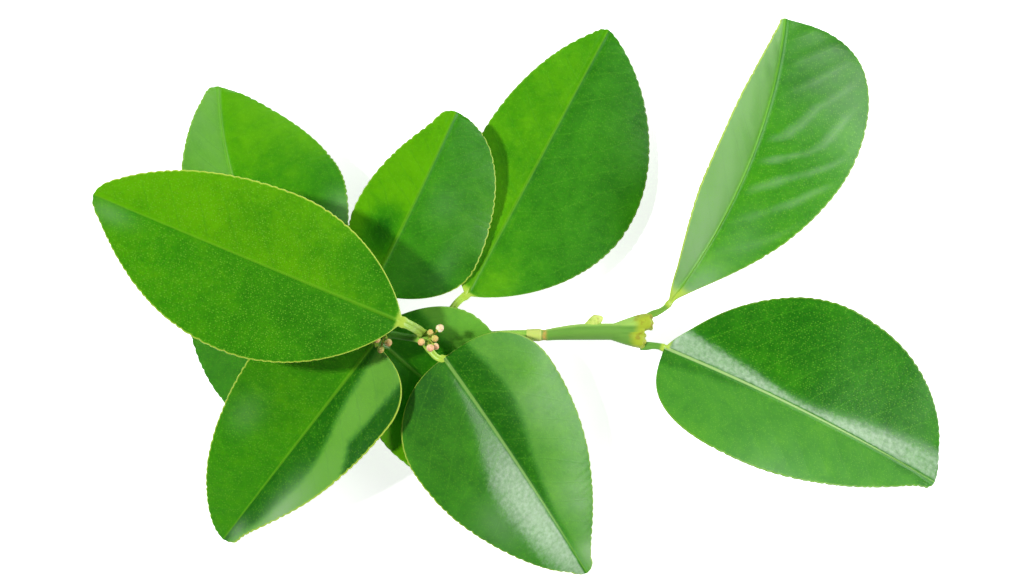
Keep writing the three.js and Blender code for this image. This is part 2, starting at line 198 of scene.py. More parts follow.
def curveThrough(points, t):
    points = np.array(points, float)
    padded = np.vstack([2 * points[0] - points[1], points, 2 * points[-1] - points[-2]])
    spans = len(points) - 1
    index = np.minimum((t * spans).astype(int), spans - 1)
    u = (t * spans - index)[:, None]
    a, b, c, d = (padded[index + offset] for offset in range(4))
    square, cube = 2 * a - 5 * b + 4 * c - d, 3 * b - a - 3 * c + d
    return 0.5 * (2 * b + (c - a) * u + square * u ** 2 + cube * u ** 3)


# Directions to the right of a leaf and up from its upper face.
def crossFrame(forward, roll):
    level = unit(np.stack([forward[:, 1], -forward[:, 0], 0 * forward[:, 0]], axis=1))
    square = np.cross(level, forward)
    turned, lifted = np.cos(roll)[:, None], np.sin(roll)[:, None]
    return level * turned + square * lifted, square * turned - level * lifted


def midribDirection(leaf, s):
    arch = math.radians(leaf["arch"])
    reach = leaf["length"] * math.sin(arch / 2) / (arch / 2)
    pitch = math.asin((leaf["tipHeight"] - leaf["base"][2]) / reach) + arch * (0.5 - s)
    heading = np.radians(leaf["heading"] + leaf["turn"] * (s - 0.5))
    flat = np.cos(pitch)
    return np.stack([flat * np.cos(heading), flat * np.sin(heading), np.sin(pitch)], axis=1)


# One half's outline, from 0 at the ends to 1 where it is widest.
def outline(leaf, half, s):
    widest = leaf["widest"][half]
    near = np.clip(1 - (1 - s / widest) ** 2, 0, 1) ** leaf["baseRound"][half]
    far = np.clip(1 - ((s - widest) / (1 - widest)) ** 2, 0, 1) ** leaf["tipRound"][half]
    return np.where(s < widest, near, far)


# Small rounded teeth: how far the margin draws in at each distance along it.
def toothedInset(distance, draw):
    inset = np.zeros_like(distance)
    notch = draw.uniform(0, 2)
    while notch < distance[-1]:
        gap = draw.uniform(*leafBuild["toothGap"])
        depth = draw.uniform(*leafBuild["toothDepth"])
        share = (distance - notch) / gap
        inside = (share >= 0) & (share < 1)
        inset[inside] = depth * (1 - np.sin(np.pi * share[inside]) ** leafBuild["toothRound"])
        notch += gap
    return inset


# The petiole's rows, from inside the stem to just short of the blade.
def petiolePath(leaf):
    foot, base = np.array(leaf["foot"], float), np.array(leaf["base"], float)
    run = np.linalg.norm(base - foot) * leafBuild["bendShare"]
    bend = base - midribDirection(leaf, np.zeros(1))[0] * run
    if "bend" in leaf:
        bend = np.array(leaf["bend"], float)
    t = np.linspace(0, 1, leafBuild["petioleRows"], endpoint=False)[:, None]
    places = foot * (1 - t) ** 2 + bend * 2 * t * (1 - t) + base * t * t
    forward = unit((bend - foot) * (1 - t) + (base - bend) * t)
    rootRows = leafBuild["rootRows"]
    rootSteps = np.linspace(-leafBuild["rootReach"], 0, rootRows, endpoint=False)[:, None]
    places = np.vstack([foot + forward[0] * rootSteps, places])
    forward = np.vstack([np.repeat(forward[:1], rootRows, axis=0), forward])
    roll = np.radians(leaf["roll"] - leaf["twist"] / 2) * np.concatenate([np.zeros(rootRows), t[:, 0]])
    step = np.linalg.norm(np.diff(np.vstack([places, base]), axis=0), axis=1)
    along = -np.cumsum(step[::-1])[::-1]
    return places, forward, roll, along


def bladePath(leaf):
    rows = leafBuild["bladeRows"]
    s = (1 - np.cos(np.pi * np.arange(rows + 1) / rows)) / 2
    pathSteps = leafBuild["pathSteps"]
    fine = np.linspace(0, 1, pathSteps + 1)
    steps = midribDirection(leaf, (fine[1:] + fine[:-1]) / 2) * leaf["length"] / pathSteps
    route = np.vstack([np.zeros(3), np.cumsum(steps, axis=0)])
    places = np.stack([np.interp(s, fine, route[:, axis]) for axis in range(3)], axis=1)
    roll = np.radians(leaf["roll"] + leaf["twist"] * (s - 0.5))
    return places + leaf["base"], midribDirection(leaf, s), roll, s * leaf["length"], s


# Half-width of the two halves at every row, and how far a tooth's notch slides a point along.
def halfWidths(leaf, s, along, joint, pulvinus, draw):
    build = leafBuild
    jointWider, pulvinusWider = build["wider"]
    narrow = leaf["petiole"] * (1 + jointWider * joint + pulvinusWider * pulvinus)
    tipReach = leaf["blunt"] * build["capReach"]
    cap = np.sqrt(np.clip(1 - ((along - leaf["length"] + tipReach) / tipReach) ** 2, 0, 1))
    tipward = smooth(build["tipFrom"], 1 - tipReach / leaf["length"], s)
    slender = narrow + (leaf["blunt"] - narrow) * tipward
    least = np.where(along > leaf["length"] - tipReach, leaf["blunt"] * cap, slender)
    halves = []
    for half in (0, 1):
        plain = leaf["halfWidth"][half] * outline(leaf, half, s) * (s > 0)
        width = (plain ** 4 + least ** 4) ** 0.25
        distance = np.concatenate([[0], np.cumsum(np.hypot(np.diff(width), np.diff(along)))])
        inset = toothedInset(distance, draw) * smooth(*build["teethFrom"], s)
        slope = np.gradient(width, along + np.arange(len(along)) * 1e-9)
        lean = np.hypot(1, slope)
        halves.append((np.maximum(width - inset / lean, build["leastHalf"]), inset * slope / lean))
    return halves


# A strip beside the midrib with a slope of its own: its height, its slope and where it lies.
def gutterShape(leaf, half, s, x):
    if "gutter" not in leaf or not leaf["gutter"][half]:
        return 0 * x, 0 * x, 0 * x
    slope = math.radians(leaf["gutter"][half])
    beyond, softness = x - alongLeaf(leaf["gutterWidth"], s), leafBuild["gutterEdge"]
    past = (beyond + np.hypot(beyond, softness)) / 2
    inside = 0.5 - beyond / np.hypot(beyond, softness) / 2
    within, without = leaf["sheenEdge"]
    return math.tan(slope) * (x - past), slope * inside, 1 - smooth(-within, without, beyond)


# How softly a half's painted shadow strips end, how dark it is painted past them, how far the midrib
# stays clear of the painted sheen over the half and in the gutter, and around which share of the
# length the painted pale bands of sheen lie.
toneEdges = dict(
    strip=1.3, until=1.2, past=0.4, hazeFrom=2, sheenFrom=(0.3, 0.9), streaks=(0.58, 0.26),
)


# What a leaf's small places of one kind add to a half.
def spots(leaf, kind, half, s, x):
    total = 0 * x
    for side, share, distance, reachAlong, reachAcross, strength in leaf.get(kind, []):
        if side == half:
            offset = (s - share) * leaf["length"]
            total = total + strength * bell(offset, reachAlong) * bell(x - distance, reachAcross)
    return total


# A half's lightness, partly painted light and shade, and its painted sheen, along one column
# of points.
def halfTone(leaf, half, s, x):
    # tone is partly the half's own green and partly painted light and shade.
    tone = leaf["tone"][half] + 0 * x
    lit = np.ones_like(x)
    # A strip paints a shadow beside the midrib; past until the half is painted dark as a shadow again.
    strip = leaf.get("strips", {}).get(half)
    if strip:
        outer = np.ones_like(x)
        if "until" in strip:
            limit = np.interp(s, *zip(*strip["until"]))
            outer = smooth(-toneEdges["until"], toneEdges["until"], limit - x)
        beyond = x - alongLeaf(strip["width"], s)
        lit = smooth(-toneEdges["strip"], toneEdges["strip"], beyond) * outer
        tone = tone * lit + strip["tone"] * (1 - lit) - toneEdges["past"] * (1 - outer)
    # dim paints shade in small places, and light where its strength is negative.
    tone = tone + leaf.get("paling", 0) * (s - 0.5) - spots(leaf, "dim", half, s, x)
    # The half's painted sheen: a pale haze laid over it, kept clear of the midrib and of painted
    # shadow.
    overlay = leaf["overlay"][half] * lit * smooth(0, toneEdges["hazeFrom"], x)
    # Small spots of painted sheen add to the painted sheen over the half.
    return tone, overlay + spots(leaf, "haze", half, s, x)


# Values given at even steps from base to tip, read at every row.
def alongLeaf(values, s):
    return curveThrough([(value, 0, 0, 0) for value in values], s)[:, 0]


# A leaf's rows: where they are and what changes only from its base to its tip.
def leafRows(name, leaf):
    build = leafBuild
    draw = random.Random(name)
    stalk, blade = petiolePath(leaf), bladePath(leaf)
    places, forward, roll, along = (np.concatenate([stalk[i], blade[i]]) for i in range(4))
    s = np.concatenate([np.zeros(len(stalk[0])), blade[4]])
    right, up = crossFrame(forward, roll)
    joint = bell(along - build["jointAt"], build["jointReach"])
    pulvinus = bell(along - along[0] - build["rootReach"], build["pulvinusReach"])
    halves = halfWidths(leaf, s, along, joint, pulvinus, draw)
    phases = [[draw.uniform(0, 6.28), draw.uniform(0, 6.28), draw.uniform(0, 1)] for _ in (0, 1)]
    stray = build["veinWander"]
    wander = np.interp(s, np.linspace(0, 1, 9), [draw.uniform(-stray, stray) for _ in range(9)])
    swell = 1 + build["thicker"][0] * joint + build["thicker"][1] * pulvinus
    return dict(
        places=places, forward=forward, right=right, up=up, along=along, s=s, joint=joint,
        swell=swell, halves=halves, phases=phases, wander=wander,
    )


# How far one column of points lies from the midrib. Columns are closer together at the margin.
def columnDistance(count, width):
    build = leafBuild
    rim = np.minimum(1, width / build["rimFrom"])
    beyond = count - build["halfColumns"]
    if beyond > 0:
        steps = build["rimSteps"] + (0,)
        return width - steps[beyond] * rim
    inner = np.maximum(width - build["rimSteps"][0] * rim, 0)
    return inner * (count / (build["halfColumns"] + build["lastGap"])) ** build["spacing"]


# Swellings between the lateral veins and slow waves of the margin, with the count of the veins.
def bladeRelief(leaf, rows, half, x, share, bladeness):
    build, s = leafBuild, rows["s"]
    first, second, start = rows["phases"][half]
    lean = (build["veinLean"] * x + build["veinCurve"] * x * x) / leaf["length"]
    veinCount = build["veins"] * (s - lean) + start + rows["wander"]
    body = smooth(*build["quiltFrom"], share) * (1 - smooth(*build["quiltTo"], share)) * bladeness
    ripple = leaf["quilt"] * np.cos(2 * np.pi * veinCount) * body
    slow, quick = build["waves"]
    wave = np.sin(2 * np.pi * slow * s + first)
    wave = wave + build["secondWave"] * np.sin(2 * np.pi * quick * s + second)
    wave = build["waveHeight"] * wave * share ** 3 * bladeness * smooth(0, build["waveEnd"], 1 - s)
    return ripple + wave, veinCount, body


# How far the upper and the lower face lie from the middle of the sheet.
def faceDepths(rows, width, x, share, bladeness):
    build, s = leafBuild, rows["s"]
    edge = np.clip((x - (width - build["rimRadius"])) / build["rimRadius"], 0, 1)
    rounded = np.sqrt(np.clip(1 - edge * edge, 0, 1))
    oval = np.sqrt(np.clip(1 - share * share, 0, 1))
    flat = build["thickness"] / 2 * rounded
    rib = build["ribHeight"] * (1 - build["ribTaper"] * s)
    furrowDepth, furrowAt, furrowHalf = build["furrow"]
    ridge = rib * bell(x, build["ribHalf"]) - furrowDepth * bell(x - furrowAt, furrowHalf)
    grooveDepth, grooveHalf = build["groove"]
    groove = grooveDepth * bell(x, grooveHalf) * (1 - rows["joint"])
    keel = build["keelTip"][0] + build["keelDepth"] * (1 - s) ** build["keelTaper"]
    keelHalf = build["keelTip"][1] + build["keelHalf"] * (1 - s)
    stalk = 1 - bladeness
    top = bladeness * (flat + ridge * rounded)
    top = top + stalk * (build["petioleTop"] * rows["swell"] - groove) * oval
    low = bladeness * flat + stalk * build["petioleDrop"] * oval * rows["swell"]
    return top, low + bladeness * keel * bell(x, keelHalf) * rounded


# One column of a leaf's points on both faces, and what the finish needs to know there.
def leafColumn(leaf, rows, column):
    side, half = int(np.sign(column)), int(column >= 0)
    s, right, up = rows["s"], rows["right"], rows["up"]
    width, slide = rows["halves"][half]
    x = columnDistance(abs(column), width)
    share = x / width
    bladeness = np.where(s > 0.5, 1, smooth(*leafBuild["bladeFrom"], width))
    ease = np.minimum(1, width / leafBuild["foldWidth"])
    fold = math.radians(leaf["fold"][half]) * ease
    curl = math.radians(leaf["curl"][half]) * ease
    chord = fold + curl * share / 2
    valley, slope, inGutter = gutterShape(leaf, half, s, x)
    tilt = fold + curl * share + slope * ease
    lifted = np.hypot(x, leafBuild["crease"]) - leafBuild["crease"]
    relief, veinCount, body = bladeRelief(leaf, rows, half, x, share, bladeness)
    point = (
        rows["places"] + right * (side * x * np.cos(chord))[:, None]
        + up * (lifted * np.sin(chord) + valley * ease + relief)[:, None]
        + rows["forward"] * (slide * share ** 4)[:, None]
    )
    outward = up * np.cos(side * tilt)[:, None] - right * np.sin(side * tilt)[:, None]
    top, low = faceDepths(rows, width, x, share, bladeness)
    tone, overlay = halfTone(leaf, half, s, x)
    # The gutter's sheen is painted as a pale colour; it is no reflection.
    sheen = inGutter * smooth(*toneEdges["sheenFrom"], x) * bladeness
    if "sheen" in leaf:
        sheen = sheen * alongLeaf(leaf["sheen"], s)
    middle, reach = toneEdges["streaks"]
    # Pale bands along the lateral veins, a painted sheen.
    streaks = leaf.get("streaks", (0, 0))[half] * body * bell(s - middle, reach)
    return dict(
        upper=point + outward * top[:, None], lower=point - outward * low[:, None],
        across=side * x, margin=width - x, veinCount=veinCount + 0.5 * (side < 0),
        blade=bladeness, glow=np.full(len(x), leaf["rim"][half]), tone=tone, overlay=overlay,
        sheen=sheen, streaks=streaks, along=rows["along"], s=s,
    )


def leafSurface(name, leaf):
    rows = leafRows(name, leaf)
    reach = leafBuild["halfColumns"] + len(leafBuild["rimSteps"])
    columns = [leafColumn(leaf, rows, column) for column in range(-reach, reach + 1)]
    return {key: np.stack([column[key] for column in columns], axis=1) for key in columns[0]}


def skinMesh(name, places, faces):
    mesh = bpy.data.meshes.new(name)
    mesh.from_pydata(places.tolist(), [], faces)
    mesh.polygons.foreach_set("use_smooth", [True] * len(mesh.polygons))
    return mesh


def storeFact(mesh, label, values):
    fact = mesh.attributes.new(label, "FLOAT", "POINT")
    fact.data.foreach_set("value", np.asarray(values, np.float32))


# A closed skin over the two faces, which share their margin points.
def leafMesh(name, leaf, shift):
    facts = leafSurface(name, leaf)
    rows, count = facts["across"].shape
    upper = facts["upper"].reshape(-1, 3) * millimetre + shift
    lower = facts["lower"][:, 1:-1].reshape(-1, 3) * millimetre + shift
    rest = leafBuild["restHeight"] * millimetre
    lower[:, 2] = np.maximum(lower[:, 2], rest)
    upper[:, 2] = np.maximum(upper[:, 2], rest + leafBuild["restThickness"] * millimetre)
    places = np.vstack([upper, lower])
    start = rows * count

    def at(row, column, below):
        if not below or column in (0, count - 1):
            return row * count + column
        return start + row * (count - 2) + column - 1

    faces = []
    for row in range(rows - 1):
        for column in range(count - 1):
            square = ((row, column), (row, column + 1), (row + 1, column + 1), (row + 1, column))
            faces.append(tuple(at(i, j, False) for i, j in square))
            faces.append(tuple(at(i, j, True) for i, j in reversed(square)))
    for row, step in ((0, -1), (rows - 1, 1)):
        for column in range(count - 1):
            ring = (
                at(row, column, False), at(row, column + 1, False),
                at(row, column + 1, True), at(row, column, True),
            )
            faces.append(tuple(dict.fromkeys(ring))[::step])
    mesh = skinMesh(name + "_skin", places, faces)
    for label, values in facts.items():
        if label not in ("upper", "lower"):
            storeFact(mesh, label, np.concatenate([values.reshape(-1), values[:, 1:-1].reshape(-1)]))
    storeFact(mesh, "below", np.arange(len(places)) >= start)
    for label in ("dots", "pale", "fresh"):
        storeFact(mesh, label, np.full(len(places), leaf.get(label, 0)))
    return mesh


def boxCentre(points):
    return (points.min(axis=0) + points.max(axis=0)) / 2


# Where the sprig's own origin lies in the frame: the mean offset of the leaves' boxes.
def sprigOrigin():
    offsets = []
    for name, leaf in leaves.items():
        facts = leafSurface(name, leaf)
        own = boxCentre(np.vstack([facts["upper"].reshape(-1, 3), facts["lower"].reshape(-1, 3)]))
        low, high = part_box(name)
        offsets.append(np.array((low + high) / 2) - own * millimetre)
    print("spread of the leaves' offsets, mm:", (np.std(offsets, axis=0) * 1000).round(3))
    return np.mean(offsets, axis=0)


origin = sprigOrigin()
print("sprig origin in the frame, mm:", (origin * 1000).round(2))


class Signal:
    # a node's output, which takes part in sums with numbers and other outputs

    def __init__(self, tree, socket):
        self.tree, self.socket = tree, socket

    def maths(self, operation, first, second):
        node = self.tree.nodes.new("ShaderNodeMath")
        node.operation = operation
        for slot, value in zip(node.inputs, (first, second)):
            if isinstance(value, Signal):
                self.tree.links.new(value.socket, slot)
            else:
                slot.default_value = value
        return Signal(self.tree, node.outputs[0])

    def __add__(self, other):
        return self.maths("ADD", self, other)

    def __radd__(self, other):
        return self.maths("ADD", other, self)

    def __sub__(self, other):
        return self.maths("SUBTRACT", self, other)

    def __rsub__(self, other):
        return self.maths("SUBTRACT", other, self)

    def __mul__(self, other):
        return self.maths("MULTIPLY", self, other)

    def __rmul__(self, other):
        return self.maths("MULTIPLY", other, self)

    def __truediv__(self, other):
        return self.maths("DIVIDE", self, other)

    def __rtruediv__(self, other):
        return self.maths("DIVIDE", other, self)


class Finish:
    # a material, or a world, and its nodes

    def __init__(self, name, store=bpy.data.materials):
        self.owner = store.new(name)
        self.owner.use_nodes = True
        self.tree = self.owner.node_tree
        self.tree.nodes.clear()

    def node(self, kind, settings=None, sockets=None, output=0):
        made = self.tree.nodes.new(kind)
        for key, value in (settings or {}).items():
            setattr(made, key, value)
        for key, value in (sockets or {}).items():
            if isinstance(value, Signal):
                self.tree.links.new(value.socket, made.inputs[key])
            else:
                made.inputs[key].default_value = value
        return Signal(self.tree, made.outputs[output]) if made.outputs else made

    def fact(self, label):
        return self.node("ShaderNodeAttribute", {"attribute_name": label}, output="Fac")

    def place(self, kind="Object"):
        return self.node("ShaderNodeTexCoord", output=kind)

    def blend(self, share, first, second):
        sockets = {0: share, 6: first, 7: second}
        return self.node("ShaderNodeMix", {"data_type": "RGBA"}, sockets, output=2)

    def ramp(self, value, low, high, start=0.0, end=1.0):
        return self.node("ShaderNodeMapRange", {"interpolation_type": "SMOOTHSTEP"}, {
            "Value": value, "From Min": low, "From Max": high, "To Min": start, "To Max": end})

    def noise(self, place, scale, detail=2.0, roughness=0.5):
        return self.node("ShaderNodeTexNoise", None, {
            "Vector": place, "Scale": scale, "Detail": detail, "Roughness": roughness}, output="Fac")

    def cells(self, place, scale, output):
        sockets = {"Vector": place, "Scale": scale}
        return self.node("ShaderNodeTexVoronoi", {"voronoi_dimensions": "2D"}, sockets, output=output)

    def stretched(self, place, stretch):
        return self.node("ShaderNodeVectorMath", {"operation": "MULTIPLY"}, {0: place, 1: stretch})

    def bump(self, height, strength, distance):
        return self.node("ShaderNodeBump", None, {
            "Height": height, "Strength": strength, "Distance": distance})

    # living tissue, which lets light a little way in
    def tissue(self, colour, roughness, relief, strength, distance, share, radii, depth):
        return self.finish(self.node("ShaderNodeBsdfPrincipled", None, {
            "Base Color": colour, "Roughness": roughness, "IOR": 1.45,
            "Normal": self.bump(relief, strength, distance), "Subsurface Weight": share,
            "Subsurface Radius": radii, "Subsurface Scale": depth}))

    def finish(self, surface, output="ShaderNodeOutputMaterial"):
        self.node(output, None, {"Surface": surface})
        return self.owner


def tint(red, green, blue):
    return (red, green, blue, 1)


leafLook = dict(
    dark=tint(0.013, 0.12, 0.004), middle=tint(0.046, 0.27, 0.004), light=tint(0.14, 0.46, 0.002),
    # The pale tints after dot paint sheen: over a half and along veins, and in the gutters.
    dot=tint(0.24, 0.60, 0.04), overlay=tint(0.45, 0.62, 0.40), paintedSheen=tint(0.62, 0.78, 0.58),
    rib=tint(0.17, 0.46, 0.015), paleRib=tint(0.46, 0.68, 0.24), vein=tint(0.075, 0.32, 0.01),
    rim=tint(0.62, 0.80, 0.09),
    under=tint(0.14, 0.34, 0.06), underVein=tint(0.22, 0.45, 0.08),
    petiole=tint(0.12, 0.32, 0.045), joint=tint(0.38, 0.56, 0.06), fresh=tint(0.38, 0.60, 0.07),
    through=tint(0.17, 0.62, 0.006), throughShare=0.30,
    glandGap=0.6, roughness=0.36, underRoughness=0.6,
)


# The measures that the parts of the leaf's finish share.
def leafMeasures(f):
    place, across, along, s = f.place(), f.fact("across"), f.fact("along"), f.fact("s")
    fromRib = f.node("ShaderNodeMath", {"operation": "ABSOLUTE"}, {0: across})
    margin = f.fact("margin")
    # 0 on a lateral vein and 0.5 midway between two
    turn = f.node("ShaderNodeMath", {"operation": "PINGPONG"}, {0: f.fact("veinCount"), 1: 0.5})
    veinLine = f.ramp(turn, 0.0, 0.06, 1.0, 0.0) * f.ramp(margin, 1.0, 4.0) * f.ramp(fromRib, 0.2, 1.0)
    return SimpleNamespace(
        fromRib=fromRib, margin=margin, along=along, s=s, turn=turn, veinLine=veinLine,
        spread=f.node("ShaderNodeCombineXYZ", None, {"X": across, "Y": along}),
        ribLine=f.ramp(fromRib / (0.62 - s * 0.36), 0.55, 1.1, 1.0, 0.0),
        clouds=f.noise(place, 70, 3.0, 0.55), patches=f.noise(place, 260, 2.0, 0.5),
        grain=f.noise(place, 900, 3.0, 0.65),
    )


# Mottled green with thin lateral veins, and a sheen painted as pale bands along them and as a pale
# haze over the half.
def mottledGreen(f, here):
    look = leafLook
    mottle = (here.clouds - 0.5) * 1.1 + (here.patches - 0.5) * 0.7 + (here.grain - 0.5) * 0.8
    lightness = mottle + f.fact("tone")
    green = f.blend(f.ramp(lightness, -0.5, 0.6), look["dark"], look["middle"])
    green = f.blend(f.ramp(lightness, 0.3, 1.5), green, look["light"])
    green = f.blend(here.veinLine * 0.3, green, look["vein"])
    # A sheen painted as pale bands along the lateral veins.
    band = f.ramp(here.turn + (here.patches - 0.5) * 0.2, 0.0, 0.28, 1.0, 0.0)
    band = band * f.ramp(here.clouds, 0.25, 0.5)
    green = f.blend(band * f.fact("streaks") * 0.27, green, look["overlay"])
    # A painted sheen: a pale haze over the half.
    return f.blend(f.fact("overlay") * (here.clouds * 0.3 + 0.2), green, look["overlay"])


# Oil glands: fine pale dots of uneven strength, laid out over the blade itself.
def oilGlands(f, here):
    scale = 1 / leafLook["glandGap"]
    gland = f.cells(here.spread, scale, "Distance")
    lot = f.node("ShaderNodeSeparateColor", None, {"Color": f.cells(here.spread, scale, "Color")})
    speck = f.ramp(gland, 0.1, 0.38, 1.0, 0.0) * f.ramp(lot, 0.3, 1.0, 0.0, 1.0)
    return speck * f.fact("dots") * f.ramp(here.fromRib, 0.3, 1.2)


# A sheen painted as a pale colour in a gutter, broken up by a noise as fine as the blade's relief.
def paintedGutterSheen(f, here):
    sheen = f.fact("sheen")
    crackle = f.noise(here.spread, 0.75, 4.0, 0.62)
    return f.ramp(sheen + (crackle - 0.5) * 1.3, 0.0, 1.7) * f.ramp(sheen, 0.0, 0.4)


def upperSide(f, here, speck):
    look = leafLook
    green = f.blend(speck * 0.85, mottledGreen(f, here), look["dot"])
    green = f.blend(paintedGutterSheen(f, here), green, look["paintedSheen"])
    pale = f.fact("pale") * f.ramp(here.s, 0.6, 1.0, 1.0, 0.3)
    ribGreen = f.blend(pale, look["rib"], look["paleRib"])
    green = f.blend(here.ribLine * (pale * 0.4 + 0.58), green, ribGreen)
    rimLine = f.ramp(here.margin, 0.2, 0.55, 1.0, 0.0) * f.fact("glow")
    return f.blend(rimLine * 0.85, green, look["rim"])


def underSide(f, here):
    look = leafLook
    green = f.blend(f.ramp(here.clouds, 0.3, 0.7), look["under"], look["underVein"])
    veins = f.ramp(here.turn, 0.0, 0.09, 1.0, 0.0) * f.ramp(here.margin, 1.0, 4.0)
    green = f.blend(veins * 0.5, green, look["underVein"])
    return f.blend(here.ribLine * 0.8, green, look["joint"])


def leafFinish():
    look = leafLook
    f = Finish("waxy_leaf")
    here = leafMeasures(f)
    below, bladeShare, speck = f.fact("below"), f.fact("blade"), oilGlands(f, here)
    blade = f.blend(below, upperSide(f, here, speck), underSide(f, here))
    stalk = f.blend(f.fact("fresh"), look["petiole"], look["fresh"])
    stalk = f.blend(f.ramp(here.along, -1.6, -0.6), stalk, look["joint"])
    colour = f.blend(f.ramp(bladeShare, 0.0, 0.75), stalk, blade)
    shine = here.patches * 0.14 + look["roughness"] - 0.07
    roughness = shine * (1 - below) + below * look["underRoughness"]
    relief = speck * 0.4 + here.grain * 0.8 + here.veinLine * 0.4
    skin = f.node("ShaderNodeBsdfPrincipled", None, {
        "Base Color": colour, "Roughness": roughness, "Normal": f.bump(relief, 0.3, 0.00016),
        "IOR": 1.45, "Coat Weight": 0.3, "Coat Roughness": 0.3})
    through = f.node("ShaderNodeBsdfTranslucent", None, {"Color": look["through"]})
    share = look["throughShare"] * f.ramp(bladeShare, 0.2, 1.0)
    return f.finish(f.node("ShaderNodeMixShader", None, {0: share, 1: skin, 2: through}))


def addPiece(name, mesh, material, nodes):
    piece = bpy.data.objects.new(name, mesh)
    scene.collection.objects.link(piece)
    mesh.materials.append(material)
    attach(piece, "root")
    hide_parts(*nodes)
    return piece


waxyLeaf = leafFinish()
for name, leaf in leaves.items():
    addPiece(name + "_grown", leafMesh(name, leaf, origin), waxyLeaf, [name])
print("leaves made:", len(leaves))

# The stem. Limbs are rows of x, y, z and radius from their thick ends, and knobs are single
# swellings of the same kind: where petioles leave, and the lobes left where the stem broke.
stem = dict(
    limbs=dict(
        main=[
            (36.5, -12.1, 12.5, 2.2), (27.5, -12, 12.5, 2.3), (18.5, -12.1, 12.5, 2.2),
            (13, -12.5, 12.5, 1.85), (9.5, -12.9, 12.5, 1.6), (7, -12.9, 12.5, 1.6),
            (4, -12.9, 12.4, 1.45), (-2.5, -13, 12.3, 1.35), (-12, -13.6, 12.2, 1.3),
            (-20.5, -14.2, 12.2, 1.45), (-32, -12.1, 12.5, 1.25), (-40.5, -9.6, 13.5, 1.5),
            (-43.8, -8.2, 15, 1),
        ],
        upperFork=[(28, -11.8, 12.5, 1.95), (34.5, -10, 12.5, 2.4), (38.3, -9.1, 12.5, 2.3)],
        lowerFork=[(27, -12.2, 12.5, 1.95), (33, -13.8, 12.5, 2.35), (36.2, -14.6, 12.5, 2.2)],
        sideShoot=[
            (-42, -9, 14.2, 1.15), (-43.2, -8.5, 18, 1.15), (-40.8, -10, 23, 1.1),
            (-34.5, -12.2, 24.6, 1.15), (-28, -13.4, 25.6, 1), (-23.4, -13.8, 26.4, 1.45),
            (-22.2, -13.8, 26.6, 1),
        ],
    ),
    knobs=[
        (38.1, -7.9, 12.6, 0.95), (38.3, -9.7, 13.2, 0.85), (38.2, -11, 12.4, 0.8),
        (38, -9.2, 11.3, 1), (36.3, -13.1, 12.8, 0.8), (36.2, -14.7, 13.4, 0.9),
        (35.8, -15.9, 12.3, 0.95), (36, -14.4, 11.4, 1), (-23.4, -12.9, 27.3, 1.15),
        (-23, -15.1, 26.2, 1.1), (-19.8, -12.9, 12.4, 1.35), (-34.4, -14, 23.9, 0.9),
        (-41.6, -8, 14.4, 1.2), (-44.6, -9, 14.8, 1), (-35, -13.6, 12, 1.1),
    ],
    sides=30, step=0.35, voxel=0.2, ribs=0.035, ribCount=5, ribTwist=3, easingRounds=5,
    knobRows=12, knobSides=20,
    # the scar ring: how softly its swelling and its colour start and end, and the groove beside it
    scar=(3.9, 7.9), scarLift=0.17, swellingEnds=((-0.25, 0.35), (-0.3, 0.1)),
    colourEnds=((-0.3, 0.4), (0, 0.4)),
    scarGroove=8.8, grooveDepth=0.13, grooveHalf=0.5, grooveColour=0.65,
    # split parts the lobes. Along the stem: where the upper and the lower lobe are torn and broken,
    # where the green turns young, and where the stem is painted darker as a shade under the leaves
    split=-12.1, torn=((31, 37), (30, 35.5)), broken=((37.6, 38.5), (35.7, 36.6)),
    young=(-4, 9), paintedShade=(-27.5, -25),
)


def anglesRound(sides):
    return np.linspace(0, 2 * np.pi, sides, endpoint=False)


# Rings round a line of points, for closed skins. Radii come as one row of values to a ring.
def ringsRound(line, radii):
    forward = unit(np.gradient(line, axis=0))
    across = np.zeros_like(line)
    guide = np.array([0, 0, 1.0]) if abs(forward[0, 2]) < 0.8 else np.array([0, 1.0, 0])
    for row, ahead in enumerate(forward):
        guide = guide - ahead * guide.dot(ahead)
        guide = guide / np.linalg.norm(guide)
        across[row] = guide
    other = np.cross(forward, across)
    angle = anglesRound(radii.shape[1])
    spokes = across[:, None] * np.cos(angle)[None, :, None]
    spokes = spokes + other[:, None] * np.sin(angle)[None, :, None]
    return line[:, None] + spokes * radii[:, :, None]


def skinOver(rings, start=0):
    rows, sides = rings.shape[:2]
    faces = []
    for row in range(rows - 1):
        for side in range(sides):
            a, b = start + row * sides + side, start + row * sides + (side + 1) % sides
            faces.append((a, b, b + sides, a + sides))
    faces.append(tuple(start + side for side in reversed(range(sides))))
    faces.append(tuple(start + (rows - 1) * sides + side for side in range(sides)))
    return rings.reshape(-1, 3), faces


def acrossScar(x, start, end):
    low, high = stem["scar"]
    return smooth(low + start[0], low + start[1], x) * (1 - smooth(high + end[0], high + end[1], x))


def scarSwelling(x):
    groove = stem["grooveDepth"] * bell(x - stem["scarGroove"], stem["grooveHalf"])
    return acrossScar(x, *stem["swellingEnds"]) * stem["scarLift"] - groove


def limbRings(points):
    length = np.linalg.norm(np.diff(np.array(points)[:, :3], axis=0), axis=1).sum()
    t = np.linspace(0, 1, int(length / stem["step"]) + 2)
    course = curveThrough(points, t)
    radius = course[:, 3] + np.where(course[:, 0] > 0, scarSwelling(course[:, 0]), 0)
    turn = stem["ribCount"] * anglesRound(stem["sides"]) + stem["ribTwist"] * t[:, None]
    ribbed = 1 + stem["ribs"] * np.cos(turn)
    return ringsRound(course[:, :3], radius[:, None] * ribbed)


def knobRings(place):
    x, y, z, radius = place
    rise = np.linspace(-0.98, 0.98, stem["knobRows"])
    line = np.stack([x + rise * radius, np.full_like(rise, y), np.full_like(rise, z)], axis=1)
    radii = np.sqrt(1 - rise ** 2) * radius
    return ringsRound(line, np.repeat(radii[:, None], stem["knobSides"], axis=1))


